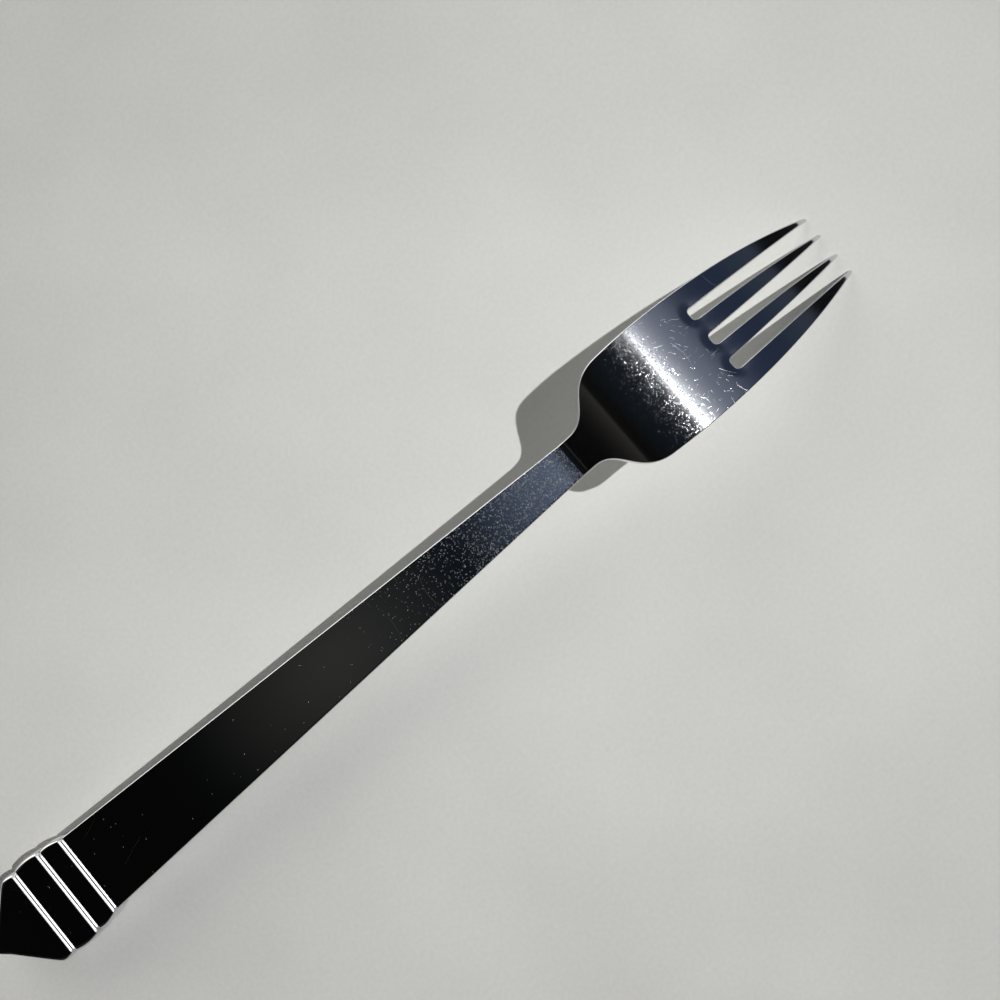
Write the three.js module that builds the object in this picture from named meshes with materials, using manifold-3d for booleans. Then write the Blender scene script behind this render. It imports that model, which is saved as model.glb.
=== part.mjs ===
// Serving fork, lying face down as it rests on a table: a forged head with four tines and a tang, a hollow
// tapered handle pressed in two halves, a filling that holds the tang, two bands and a gabled end cap.
// Millimetres, +Z up. x runs from the point of the end cap (0) to the tips of the tines.

import * as THREE from 'three';
import { mergeVertices } from 'three/addons/utils/BufferGeometryUtils.js';
import Module from 'manifold-3d';

const wasm = await Module();
wasm.setup();

const { degToRad, lerp } = THREE.MathUtils;

// Lengths along the fork
const capLength = 12.7;
const ringLength = 6.4;
const collarLength = 5.3;
const handleLength = 122.9;
const headLength = 65.5;

// Handle: its back bends gently upwards from the bands to the mouth
const handleRearTilt = degToRad(1.6);
const handleRadius = 2200;
const handleRearWidth = 17.5;
const handleMouthWidth = 7.2;
const handleRearThickness = 6.7;
const handleMouthThickness = 3.6;
const shellWall = 0.8;

// Bands and end cap: they rest on the table, a step below the handle's underside
const bandStep = 0.9;
const collarWidth = 20.4;
const ringWidth = 20.9;
const capWidth = 20.5;
const sideBulge = 0.7;
const grooveDepth = 0.5;
const grooveHalfWidth = 0.6;
const gableAngle = degToRad(45.6);
const gablePointWidth = 0.6;

// Parts inside the handle
const spigotReach = 12;
const tangLength = 75;
const tangEndWidth = 4;
const tangEndThickness = 1;
const fillingSetback = 54;

// Side view of the head: neck bend, straight rise, crest, then one long arc down to the tips
const neckRadius = 6;
const riseAngle = degToRad(26.5);
const riseLength = 7.75;
const crestRadius = 20;
const crestFall = degToRad(11.3);
const crestThickness = 2.4;
const tineEndThickness = 1.1;
const noseLength = 3;
const noseThickness = 0.45;

// Plan of the head
const neckLength = 2.5;
const neckEase = 5.6;
const shoulderSetback = 14.5;
const shoulderEase = 7.4;
const headWidth = 22.6;
const widestSetback = 25;

// Tines and the slots between them
const tineLength = 32.5;
const slotPitch = 5.8;
const slotWidth = 2.45;
const slotRounding = 0.9;
const innerTipOffset = 2.5;
const outerTipOffset = 6.65;
const tipRadius = 0.35;
const tineBow = 0.4;
const bowSetback = 12;

// Clearances between neighbours, and how far a cutting body runs past what it cuts
const jointGap = 0.2;
const fitGap = 0.25;
const overrun = 1;

// Fineness of the curves
const handleSteps = 8;
const arcSteps = 16;
const flareSteps = 8;
const curveSteps = 16;
const tineSteps = 6;
const mergeDistance = 1e-4;

// Places along the fork
const ringX = capLength;
const collarX = ringX + ringLength;
const handleX = collarX + collarLength;
const mouthX = handleX + handleLength;
const tipX = mouthX + headLength;
const spigotEndX = handleX + spigotReach;
const tangEndX = mouthX - tangLength;
const fillingFrontX = mouthX - fillingSetback;
const headX = mouthX + jointGap;
const crossCut = 2 * tipX;

// Lines of the handle: its back (upper face), its thickness, its middle and its half width
function handleShare(x) {
  return (x - handleX) / handleLength;
}

function backAngle(x) {
  return Math.asin(Math.sin(handleRearTilt) + (x - handleX) / handleRadius);
}

function backHeight(x) {
  const rise = handleRadius * (Math.cos(handleRearTilt) - Math.cos(backAngle(x)));
  return bandStep + handleRearThickness + rise;
}

function thickness(x) {
  return lerp(handleRearThickness, handleMouthThickness, handleShare(x));
}

function undersideHeight(x) {
  return backHeight(x) - thickness(x);
}

function middleHeight(x) {
  return backHeight(x) - thickness(x) / 2;
}

function halfWidth(x) {
  return lerp(handleRearWidth, handleMouthWidth, handleShare(x)) / 2;
}

function cavityHalfHeight(x) {
  return thickness(x) / 2 - shellWall;
}

function cavityHalfWidth(x) {
  return halfWidth(x) - shellWall;
}

// The tang is a close fit in the mouth of the handle and tapers to its end
function tangShare(x) {
  return (mouthX - x) / tangLength;
}

function tangHalfWidth(x) {
  return lerp(cavityHalfWidth(mouthX) - fitGap, tangEndWidth / 2, tangShare(x));
}

function tangHalfHeight(x) {
  return lerp(cavityHalfHeight(mouthX) - fitGap, tangEndThickness / 2, tangShare(x));
}

// The spigot is an even bar that just enters the cavity at its far end
const spigotHalfWidth = cavityHalfWidth(spigotEndX) - fitGap;
const spigotHalfHeight = cavityHalfHeight(spigotEndX) - fitGap;

// Points of an outline, and the same line read at even stations
function point(x, y) {
  return new THREE.Vector2(x, y);
}

function pointsAlong(x0, x1, line, steps) {
  const points = [];
  for (let step = 0; step <= steps; step += 1) {
    const x = lerp(x0, x1, step / steps);
    points.push(point(x, line(x)));
  }
  return points;
}

// Solids: outlines seen from above, from the side and from the end, cut through each other
function solidFrom(geometry) {
  geometry.deleteAttribute('normal');
  geometry.deleteAttribute('uv');
  const merged = mergeVertices(geometry, mergeDistance);
  const triangles = new wasm.Mesh({
    numProp: 3,
    vertProperties: merged.attributes.position.array,
    triVerts: new Uint32Array(merged.index.array),
  });
  return new wasm.Manifold(triangles);
}

function prism(points) {
  const shape = new THREE.Shape(points);
  const geometry = new THREE.ExtrudeGeometry(shape, { depth: crossCut, bevelEnabled: false });
  return geometry.translate(0, 0, -crossCut / 2);
}

// Half of a plan, as (x, half width) from rear to front; its mirror image closes the outline
function seenFromAbove(half) {
  const otherHalf = half.filter((p) => p.y > 0).map((p) => point(p.x, -p.y)).reverse();
  return solidFrom(prism([...half, ...otherHalf]));
}

// A side view, as an upper and a lower line of (x, height), both from rear to front
function seenFromSide(upper, lower) {
  return solidFrom(prism([...upper, ...lower.slice().reverse()]).rotateX(Math.PI / 2));
}

// Half of an end view, as (half width, height) from the bottom up
function seenFromEnd(half) {
  const otherHalf = half.map((p) => point(-p.x, p.y)).reverse();
  const turn = new THREE.Matrix4().makeBasis(
    new THREE.Vector3(0, 1, 0),
    new THREE.Vector3(0, 0, 1),
    new THREE.Vector3(1, 0, 0),
  );
  return solidFrom(prism([...half, ...otherHalf]).applyMatrix4(turn));
}

// A bar that follows the middle of the handle
function bar(x0, x1, halfWidthAt, halfHeightAt) {
  const plan = seenFromAbove(pointsAlong(x0, x1, halfWidthAt, 1));
  const side = seenFromSide(
    pointsAlong(x0, x1, (x) => middleHeight(x) + halfHeightAt(x), handleSteps),
    pointsAlong(x0, x1, (x) => middleHeight(x) - halfHeightAt(x), handleSteps),
  );
  return plan.intersect(side);
}

// Lines that step inward where a groove runs round the fork: at the rear end, or at both ends
function rearGroovedLine(x0, x1, line, inward, steps) {
  return [point(x0, line(x0) + inward), ...pointsAlong(x0 + grooveHalfWidth, x1, line, steps)];
}

function groovedLine(x0, x1, line, inward, steps) {
  const rear = rearGroovedLine(x0, x1 - grooveHalfWidth, line, inward, steps);
  return [...rear, point(x1, line(x1) + inward)];
}

// Head, side view: its back is a chain of arcs, each starting where the last one ends
function arcPoints(start, startAngle, endAngle, radius) {
  const points = [];
  const turn = Math.sign(endAngle - startAngle);
  for (let step = 1; step <= arcSteps; step += 1) {
    const angle = lerp(startAngle, endAngle, step / arcSteps);
    const x = start.x + turn * radius * (Math.sin(angle) - Math.sin(startAngle));
    const z = start.y - turn * radius * (Math.cos(angle) - Math.cos(startAngle));
    points.push(point(x, z));
  }
  return points;
}

function headSide() {
  const start = point(headX, backHeight(headX));
  const neck = arcPoints(start, backAngle(headX), riseAngle, neckRadius);
  const rise = point(riseLength * Math.cos(riseAngle), riseLength * Math.sin(riseAngle));
  const riseEnd = neck.at(-1).clone().add(rise);
  const crest = arcPoints(riseEnd, riseAngle, -crestFall, crestRadius);
  const crestEnd = crest.at(-1);

  // The arc of the tines leaves the crest without a bend and would end a tine's thickness above the table
  const chord = point(tipX, tineEndThickness).sub(crestEnd);
  const endAngle = 2 * Math.atan2(chord.y, chord.x) + crestFall;
  const tineRadius = chord.length() / (2 * Math.sin((-crestFall - endAngle) / 2));
  const noseRun = tipX - noseLength - crestEnd.x;
  const noseAngle = -Math.asin(Math.sin(crestFall) + noseRun / tineRadius);
  const tines = arcPoints(crestEnd, -crestFall, noseAngle, tineRadius);

  const upper = [start, ...neck, ...crest, ...tines];
  const lower = upper.map((p) => {
    const toCrest = (p.x - headX) / (crestEnd.x - headX);
    const toTip = (p.x - crestEnd.x) / (tipX - crestEnd.x);
    const depth = toTip < 0
      ? lerp(handleMouthThickness, crestThickness, toCrest)
      : lerp(crestThickness, tineEndThickness, toTip);
    return point(p.x, p.y - depth);
  });
  upper.push(point(tipX, noseThickness), point(tipX + overrun, noseThickness));
  lower.push(point(tipX, 0), point(tipX + overrun, 0));
  return seenFromSide(upper, lower);
}

// Head, plan: the side of the head is one long arc, widest near the crest, that ends at the outer tip
const widestX = mouthX + widestSetback;
const tipStartX = tipX - tipRadius;
const sideRun = tipStartX - widestX;
const sideDrop = headWidth / 2 - outerTipOffset - tipRadius;
const sideRadius = (sideRun ** 2 + sideDrop ** 2) / (2 * sideDrop);

function sideWidth(x) {
  return headWidth / 2 - sideRadius + Math.sqrt(sideRadius ** 2 - (x - widestX) ** 2);
}

function sideSlope(x) {
  return (widestX - x) / Math.sqrt(sideRadius ** 2 - (x - widestX) ** 2);
}

// From the mouth of the handle along the neck, round the shoulder and along the side to the outer tip
function flankPoints() {
  const flareX = mouthX + neckLength;
  const shoulderX = mouthX + shoulderSetback;
  const neckWidth = handleMouthWidth / 2;
  const shoulderWidth = sideWidth(shoulderX);
  const flank = new THREE.Path();
  flank.moveTo(headX, neckWidth);
  flank.lineTo(flareX, neckWidth);
  flank.bezierCurveTo(
    flareX + neckEase,
    neckWidth,
    shoulderX - shoulderEase,
    shoulderWidth - shoulderEase * sideSlope(shoulderX),
    shoulderX,
    shoulderWidth,
  );
  const side = pointsAlong(shoulderX, tipStartX, sideWidth, arcSteps).slice(1, -1);
  return [...flank.getPoints(curveSteps), ...side];
}

// Round the outer tip, down the outer slot, round the inner tip and down to the root of the middle slot
function tinePoints() {
  const rootX = tipX - tineLength;
  const slotStartX = rootX + slotRounding;
  const bowX = tipX - bowSetback;
  const bowShare = (bowX - rootX) / tineLength;
  const slotOuter = slotPitch + slotWidth / 2;
  const slotInner = slotPitch - slotWidth / 2;
  const middleSlot = slotWidth / 2;
  const tipOuter = innerTipOffset + tipRadius;
  const tipInner = innerTipOffset - tipRadius;
  const tines = new THREE.Path();
  tines.moveTo(tipStartX, outerTipOffset + tipRadius);
  tines.absarc(tipStartX, outerTipOffset, tipRadius, Math.PI / 2, -Math.PI / 2, true);
  tines.lineTo(slotStartX, slotOuter);
  tines.quadraticCurveTo(rootX, slotOuter, rootX, slotOuter - slotRounding);
  tines.lineTo(rootX, slotInner + slotRounding);
  tines.quadraticCurveTo(rootX, slotInner, slotStartX, slotInner);
  tines.quadraticCurveTo(bowX, lerp(slotInner, tipOuter, bowShare) + tineBow, tipStartX, tipOuter);
  tines.absarc(tipStartX, innerTipOffset, tipRadius, Math.PI / 2, -Math.PI / 2, true);
  tines.quadraticCurveTo(bowX, lerp(middleSlot, tipInner, bowShare) - tineBow, slotStartX, middleSlot);
  tines.quadraticCurveTo(rootX, middleSlot, rootX, middleSlot - slotRounding);
  tines.lineTo(rootX, 0);
  return tines.getPoints(tineSteps);
}

function forkHead() {
  const plan = seenFromAbove([...flankPoints(), ...tinePoints()]);
  const tang = bar(tangEndX, headX + neckLength / 2, tangHalfWidth, tangHalfHeight);
  return plan.intersect(headSide()).add(tang);
}

// Handle: two halves that meet along the middle, open at both ends, with a groove at the rear
const shellRearX = handleX + jointGap / 2;
const shellFrontX = mouthX - jointGap / 2;

function handleHalf(upper, lower) {
  const plan = rearGroovedLine(shellRearX, shellFrontX, halfWidth, -grooveDepth, 1);
  const cavity = bar(handleX - overrun, mouthX + overrun, cavityHalfWidth, cavityHalfHeight);
  return seenFromAbove(plan).intersect(seenFromSide(upper, lower)).subtract(cavity);
}

function handleBackHalf() {
  const upper = rearGroovedLine(shellRearX, shellFrontX, backHeight, -grooveDepth, handleSteps);
  const parting = (x) => middleHeight(x) + jointGap / 2;
  return handleHalf(upper, pointsAlong(shellRearX, shellFrontX, parting, handleSteps));
}

function handleFrontHalf() {
  const lower = rearGroovedLine(shellRearX, shellFrontX, undersideHeight, grooveDepth, handleSteps);
  const parting = (x) => middleHeight(x) - jointGap / 2;
  return handleHalf(pointsAlong(shellRearX, shellFrontX, parting, handleSteps), lower);
}

// Filling: set between the spigot and the tang, whose end it holds in a pocket
function handleFilling() {
  const body = bar(
    spigotEndX + fitGap,
    fillingFrontX,
    (x) => cavityHalfWidth(x) - fitGap,
    (x) => cavityHalfHeight(x) - fitGap,
  );
  const pocket = bar(
    tangEndX - fitGap,
    fillingFrontX + overrun,
    (x) => tangHalfWidth(x) + fitGap,
    (x) => tangHalfHeight(x) + fitGap,
  );
  return body.subtract(pocket);
}

// Bands: swelling sides, grooves at both ends and a hole that the cap's spigot passes through
function bulgedEnd(width) {
  const top = backHeight(handleX);
  const edge = width / 2 - sideBulge;
  const side = new THREE.Path();
  side.moveTo(edge, -overrun);
  side.lineTo(edge, 0);
  side.quadraticCurveTo(width / 2 + sideBulge, top / 2, edge, top);
  side.lineTo(edge, top + overrun);
  return seenFromEnd(side.getPoints(curveSteps));
}

function spigotHole() {
  const halfWidthAt = () => spigotHalfWidth + fitGap;
  const halfHeightAt = () => spigotHalfHeight + fitGap;
  return bar(capLength / 2, handleX + overrun, halfWidthAt, halfHeightAt);
}

function endRing() {
  const x0 = ringX + jointGap / 2;
  const x1 = collarX - jointGap / 2;
  const plan = seenFromAbove(groovedLine(x0, x1, () => ringWidth / 2, -grooveDepth, 1));
  const side = seenFromSide(
    groovedLine(x0, x1, backHeight, -grooveDepth, 1),
    groovedLine(x0, x1, () => 0, grooveDepth, 1),
  );
  return plan.intersect(side).intersect(bulgedEnd(ringWidth)).subtract(spigotHole());
}

// The collar flares from the handle's own section out to its full width and down to the table
function flaredCollar() {
  const x0 = collarX + jointGap / 2;
  const x1 = handleX - jointGap / 2;
  const flare = (x) => Math.sin((Math.PI / 2) * (handleX - x) / collarLength);
  const flaredWidth = (x) => lerp(halfWidth(handleX), collarWidth / 2, flare(x));
  const flaredUnderside = (x) => lerp(bandStep, 0, flare(x));
  const plan = seenFromAbove(groovedLine(x0, x1, flaredWidth, -grooveDepth, flareSteps));
  const side = seenFromSide(
    groovedLine(x0, x1, backHeight, -grooveDepth, 1),
    groovedLine(x0, x1, flaredUnderside, grooveDepth, flareSteps),
  );
  return plan.intersect(side).intersect(bulgedEnd(collarWidth)).subtract(spigotHole());
}

// End cap: a gable in plan with rounded shoulders, and a spigot that carries the bands into the handle
function endCap() {
  const x1 = ringX - jointGap / 2;
  const grooveX = x1 - grooveHalfWidth;
  const full = capWidth / 2;
  const cornerX = (full - gablePointWidth / 2) / Math.tan(gableAngle);
  const rounding = grooveX - cornerX;
  const gable = new THREE.Path();
  gable.moveTo(0, gablePointWidth / 2);
  gable.lineTo(cornerX - rounding * Math.cos(gableAngle), full - rounding * Math.sin(gableAngle));
  gable.quadraticCurveTo(cornerX, full, grooveX, full);
  gable.lineTo(x1, full - grooveDepth);
  const side = seenFromSide(
    [point(0, backHeight(0)), point(grooveX, backHeight(grooveX)), point(x1, backHeight(x1) - grooveDepth)],
    [point(0, 0), point(grooveX, 0), point(x1, grooveDepth)],
  );
  const block = seenFromAbove(gable.getPoints(curveSteps)).intersect(side).intersect(bulgedEnd(capWidth));
  return block.add(bar(capLength / 2, spigotEndX, () => spigotHalfWidth, () => spigotHalfHeight));
}

// The fork: every piece under its own name, centred over the origin along its length
const headSteel = new THREE.MeshStandardMaterial({ color: 0xb4b8be, roughness: 0.22, metalness: 1 });
const handleSteel = new THREE.MeshStandardMaterial({ color: 0xb0b3b8, roughness: 0.15, metalness: 1 });
const bandSteel = new THREE.MeshStandardMaterial({ color: 0xbbbdc0, roughness: 0.12, metalness: 1 });
const resin = new THREE.MeshStandardMaterial({ color: 0xcabf9f, roughness: 0.9, metalness: 0 });

const pieces = [
  ['fork_head', forkHead(), headSteel],
  ['handle_back_half', handleBackHalf(), handleSteel],
  ['handle_front_half', handleFrontHalf(), handleSteel],
  ['handle_filling', handleFilling(), resin],
  ['flared_collar', flaredCollar(), bandSteel],
  ['end_ring', endRing(), bandSteel],
  ['end_cap', endCap(), bandSteel],
];

const fork = new THREE.Group();
for (const [name, solid, material] of pieces) {
  const { vertProperties, triVerts } = solid.getMesh();
  const geometry = new THREE.BufferGeometry();
  geometry.setAttribute('position', new THREE.BufferAttribute(vertProperties, 3));
  geometry.setIndex(new THREE.BufferAttribute(triVerts, 1));
  geometry.computeVertexNormals();
  const piece = new THREE.Mesh(geometry, material);
  piece.name = name;
  fork.add(piece);
}
fork.position.x = -tipX / 2;

export default fork;
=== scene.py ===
# %% [markdown]
# # A polished serving fork, face down on a table
# The fork's solids are already packed at their real size. They are loaded first, as a frame that never
# moves. The lesson then sets up the camera and the light, and makes the polished surfaces over the solids,
# piece by piece: the pressed head, the two halves of the hollow handle, two bands and the gabled end cap.

# %% Load the frame
import math

import bmesh
import bpy
import numpy as np
from mathutils import Matrix, Vector
from mathutils.geometry import delaunay_2d_cdt


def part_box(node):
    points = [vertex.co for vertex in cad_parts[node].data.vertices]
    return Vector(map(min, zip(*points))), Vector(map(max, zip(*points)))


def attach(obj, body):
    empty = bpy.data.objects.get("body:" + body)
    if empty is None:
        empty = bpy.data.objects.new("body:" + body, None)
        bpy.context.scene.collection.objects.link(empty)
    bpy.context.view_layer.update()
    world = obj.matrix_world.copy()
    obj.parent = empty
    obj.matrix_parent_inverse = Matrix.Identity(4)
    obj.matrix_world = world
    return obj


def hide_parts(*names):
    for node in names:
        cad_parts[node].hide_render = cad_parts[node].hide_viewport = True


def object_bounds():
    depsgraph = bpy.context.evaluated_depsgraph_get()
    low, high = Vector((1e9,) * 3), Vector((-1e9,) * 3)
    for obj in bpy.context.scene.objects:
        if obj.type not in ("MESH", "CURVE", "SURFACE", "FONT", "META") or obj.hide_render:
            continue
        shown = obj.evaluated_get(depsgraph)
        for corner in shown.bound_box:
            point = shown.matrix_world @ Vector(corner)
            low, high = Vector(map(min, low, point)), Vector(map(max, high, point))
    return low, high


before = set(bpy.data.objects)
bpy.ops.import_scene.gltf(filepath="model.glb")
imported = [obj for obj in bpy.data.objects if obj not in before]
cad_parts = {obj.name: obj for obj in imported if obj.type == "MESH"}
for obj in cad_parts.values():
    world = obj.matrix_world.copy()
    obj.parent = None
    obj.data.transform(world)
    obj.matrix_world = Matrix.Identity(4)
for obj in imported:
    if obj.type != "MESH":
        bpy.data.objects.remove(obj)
cad_low, cad_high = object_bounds()
print("solids of the fork:", sorted(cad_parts))

# %% [markdown]
# ## Places along the fork
# Every joint of the fork lies halfway between two solids, so the places come from the frame. The solids
# keep a gap there. The polished pieces close it to a hairline, because on the real fork the joints are
# ground flush.

# %% Places from the frame
MM = 0.001
SOLID_GAP = 0.2 * MM
HAIRLINE = 0.01 * MM

collar_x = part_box("flared_collar")[0].x - SOLID_GAP / 2
ring_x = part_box("end_ring")[0].x - SOLID_GAP / 2
handle_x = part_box("handle_back_half")[0].x - SOLID_GAP / 2
mouth_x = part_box("handle_back_half")[1].x + SOLID_GAP / 2
end_x = cad_low.x
tip_x = cad_high.x
print("joints at (mm):", [round(x / MM, 2) for x in (end_x, ring_x, collar_x, handle_x, mouth_x, tip_x)])

# %% [markdown]
# ## Camera
# The view is from above, almost straight down, with the fork running across the picture's diagonal. A
# camera looks along its own -Z, so its turn is built from three directions: right, up and back.

# %% Camera
CAMERA_PLACE = Vector((33.84, -7.72, 201.78)) * MM
CAMERA_TARGET = Vector((25.85, 3.79, 0.0)) * MM
PICTURE_UP = math.radians(49.62)
LENS = 36.92

scene = bpy.context.scene
camera_data = bpy.data.cameras.new("table_camera")
camera_data.lens = LENS
camera_data.clip_start = 1 * MM
camera = bpy.data.objects.new("table_camera", camera_data)
scene.collection.objects.link(camera)
back = (CAMERA_PLACE - CAMERA_TARGET).normalized()
right = Vector((math.cos(PICTURE_UP), math.sin(PICTURE_UP), 0)).cross(back).normalized()
turn = Matrix((right, back.cross(right), back)).transposed()
camera.matrix_world = Matrix.Translation(CAMERA_PLACE) @ turn.to_4x4()
scene.camera = camera
scene.view_settings.view_transform = "Standard"
print("camera stands", round(CAMERA_PLACE.z / MM), "mm above the table")

# %% [markdown]
# ## Arithmetic with nodes
# Materials and node trees both need formulas, and a formula drawn as Math nodes is hard to read. This
# small class lets plain Python arithmetic add the nodes.

# %% Numbers that build Math nodes
class Num:
    """A number on its way through a node tree."""

    def __init__(self, tree, socket):
        self.tree = tree
        self.socket = socket

    def math(self, operation, *others, clamp=False):
        node = self.tree.nodes.new("ShaderNodeMath")
        node.operation = operation
        node.use_clamp = clamp
        for socket, value in zip(node.inputs, (self, *others)):
            plug(self.tree, value, socket)
        return Num(self.tree, node.outputs[0])

    def __add__(self, other):
        return self.math("ADD", other)

    def __sub__(self, other):
        return self.math("SUBTRACT", other)

    def __mul__(self, other):
        return self.math("MULTIPLY", other)

    def __truediv__(self, other):
        return self.math("DIVIDE", other)

    def __rsub__(self, other):
        return (self * -1).math("ADD", other)

    __radd__ = __add__
    __rmul__ = __mul__

    def share(self, low, high):
        """0 below low, 1 above high and even between."""
        return ((self - low) / (high - low)).math("ADD", 0.0, clamp=True)

    def smooth(self):
        """Eases a share at both ends."""
        return self * self * (3 - self * 2)


print("arithmetic adds Math nodes")

# %% [markdown]
# A formula ends in a socket, which takes it as a link, or a plain number as its value. Some rules, such as a
# share between two limits, work on numbers and on sockets alike. A line of the fork can then be measured in
# Python and followed by a node tree.

# %% Sockets and shared rules
def plug(tree, value, socket):
    """Links a number or a socket, or writes a plain value."""
    if isinstance(value, Num):
        tree.links.new(value.socket, socket)
    elif isinstance(value, bpy.types.NodeSocket):
        tree.links.new(value, socket)
    else:
        socket.default_value = value


def parts_of(tree, vector):
    """The X, Y and Z of a vector socket."""
    split = tree.nodes.new("ShaderNodeSeparateXYZ")
    tree.links.new(vector, split.inputs[0])
    return [Num(tree, socket) for socket in split.outputs]


def root(value):
    return value.math("SQRT") if isinstance(value, Num) else math.sqrt(value)


def share(value, low, high):
    """0 below low, 1 above high and even between, for a number or a socket."""
    if isinstance(value, Num):
        return value.share(low, high)
    return min(max((value - low) / (high - low), 0.0), 1.0)


def choose(flag, yes, no):
    """Yes where the flag is 1, no where it is 0."""
    return no + (yes - no) * flag


print("numbers and sockets follow the same rules")

# %% [markdown]
# ## Light
# One slanting sun gives the crisp shadow and the bright bar on the head. A sun lamp shines the same way
# everywhere, so only its turn matters, and its small width keeps the edge of the shadow sharp.

# %% Sun
SUN_FROM = Vector((0.654, -0.238, 1.0))
SUN_STRENGTH = 2.75
SUN_WIDTH = math.radians(1.0)

sun_data = bpy.data.lights.new("slanting_sun", "SUN")
sun_data.energy = SUN_STRENGTH
sun_data.angle = SUN_WIDTH
sun = bpy.data.objects.new("slanting_sun", sun_data)
sun.rotation_euler = SUN_FROM.to_track_quat("Z", "Y").to_euler()
scene.collection.objects.link(sun)
print("sun stands", round(math.degrees(SUN_FROM.angle(Vector((0, 0, 1))))), "degrees off the zenith")

# %% [markdown]
# ## Room
# Polished steel has no colour of its own: it shows what is around it, so the room matters as much as the
# lamp. Above the fork the room is dark, which makes the handle look black. A grey window stands next to the
# sun. The wall on the fork's left is pale, and the one on its right is dim and stands farther back.

# %% Tones of the room
# Lean from the zenith towards the tines, in degrees, and what the room shows there
ROOM_ALONG_FORK = (
    (-90, (0.50, 0.49, 0.47)),
    (-76, (0.30, 0.29, 0.28)),
    (-65, (0.001, 0.001, 0.001)),
    (-47, (0.001, 0.001, 0.001)),
    (-44, (0.014, 0.013, 0.012)),
    (-42.5, (0.034, 0.033, 0.030)),
    (-40.5, (0.034, 0.033, 0.030)),
    (-39.2, (0.002, 0.002, 0.002)),
    (-30, (0.002, 0.002, 0.002)),
    (-20, (0.003, 0.005, 0.007)),
    (30, (0.008, 0.011, 0.018)),
    (37, (0.150, 0.175, 0.235)),
    (46.6, (0.150, 0.172, 0.230)),
    (48.2, (0.008, 0.018, 0.050)),
    (60, (0.018, 0.029, 0.056)),
    (70.5, (0.044, 0.054, 0.074)),
    (72.5, (0.003, 0.003, 0.004)),
    (87, (0.003, 0.003, 0.004)),
    (90, (0.45, 0.45, 0.44)),
)
LEFT_WALL = (2.40, 2.36, 2.24)
RIGHT_WALL = (0.15, 0.15, 0.14)
AISLE_FROM, AISLE_TO = 0.58, 0.90
RIGHT_SETBACK = 0.15
print("room has", len(ROOM_ALONG_FORK), "tones along the fork")

# %% [markdown]
# The world turns every direction into a colour. How far a direction leans along the fork picks a tone from a
# ramp, and how far it points aside leads over to a wall. The camera itself sees a plain backdrop in place of
# the room.

# %% World of the room
BACKDROP = (0.46, 0.46, 0.44)


def mix_colours(tree, factor, first, second):
    """The first colour where the factor is 0, the second where it is 1."""
    node = tree.nodes.new("ShaderNodeMix")
    node.data_type = "RGBA"
    plug(tree, factor, node.inputs["Factor"])
    colours = [socket for socket in node.inputs if socket.type == "RGBA"]
    for socket, colour in zip(colours, (first, second)):
        plug(tree, colour, socket)
    return next(socket for socket in node.outputs if socket.type == "RGBA")


def room_light():
    world = bpy.data.worlds.new("room")
    world.use_nodes = True
    tree = world.node_tree
    along, across, up = parts_of(tree, tree.nodes.new("ShaderNodeTexCoord").outputs["Generated"])

    lean = along.math("ARCTAN2", up) / math.pi + 0.5
    ramp = tree.nodes.new("ShaderNodeValToRGB")
    plug(tree, lean, ramp.inputs["Fac"])
    stops = ramp.color_ramp.elements
    while len(stops) < len(ROOM_ALONG_FORK):
        stops.new(1.0)
    for stop, (degrees, colour) in zip(stops, ROOM_ALONG_FORK):
        stop.position = degrees / 180 + 0.5
        stop.color = (*colour, 1)

    walls = mix_colours(tree, across.math("GREATER_THAN", 0.0), (*RIGHT_WALL, 1), (*LEFT_WALL, 1))
    reach = across.math("ABSOLUTE") - across.math("LESS_THAN", 0.0) * RIGHT_SETBACK
    to_wall = reach.share(AISLE_FROM, AISLE_TO).smooth()
    room = mix_colours(tree, to_wall, ramp.outputs["Color"], walls)
    from_camera = tree.nodes.new("ShaderNodeLightPath").outputs["Is Camera Ray"]
    seen = mix_colours(tree, from_camera, room, (*BACKDROP, 1))
    tree.links.new(seen, tree.nodes["Background"].inputs["Color"])
    return world


scene.world = room_light()
print("world:", scene.world.name)

# %% [markdown]
# ## Finishes
# Every finish starts the same way: a new material, its shader, and the place on the object, which patterns
# follow. Noise gives the patterns, and a ramp between two tones turns them into a colour.

# %% Helpers for the finishes
def new_finish(name):
    """A new material, its tree, its shader and the place on the object."""
    finish = bpy.data.materials.new(name)
    finish.use_nodes = True
    tree = finish.node_tree
    place = tree.nodes.new("ShaderNodeTexCoord").outputs["Object"]
    return finish, tree, tree.nodes["Principled BSDF"], place


def two_tones(tree, factor, dark, pale):
    """A colour that runs from one tone to the other."""
    ramp = tree.nodes.new("ShaderNodeValToRGB")
    for stop, tone in zip(ramp.color_ramp.elements, (dark, pale)):
        stop.color = (*tone, 1)
    plug(tree, factor, ramp.inputs["Fac"])
    return ramp.outputs["Color"]


def noise(tree, place, scale, detail):
    """Noise with its own scale along each axis, in features per metre."""
    stretch = tree.nodes.new("ShaderNodeMapping")
    stretch.inputs["Scale"].default_value = scale
    plug(tree, place, stretch.inputs["Vector"])
    texture = tree.nodes.new("ShaderNodeTexNoise")
    texture.inputs["Scale"].default_value = 1.0
    texture.inputs["Detail"].default_value = detail
    tree.links.new(stretch.outputs[0], texture.inputs["Vector"])
    return Num(tree, texture.outputs["Fac"])


print("helpers for the finishes ready")
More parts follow.
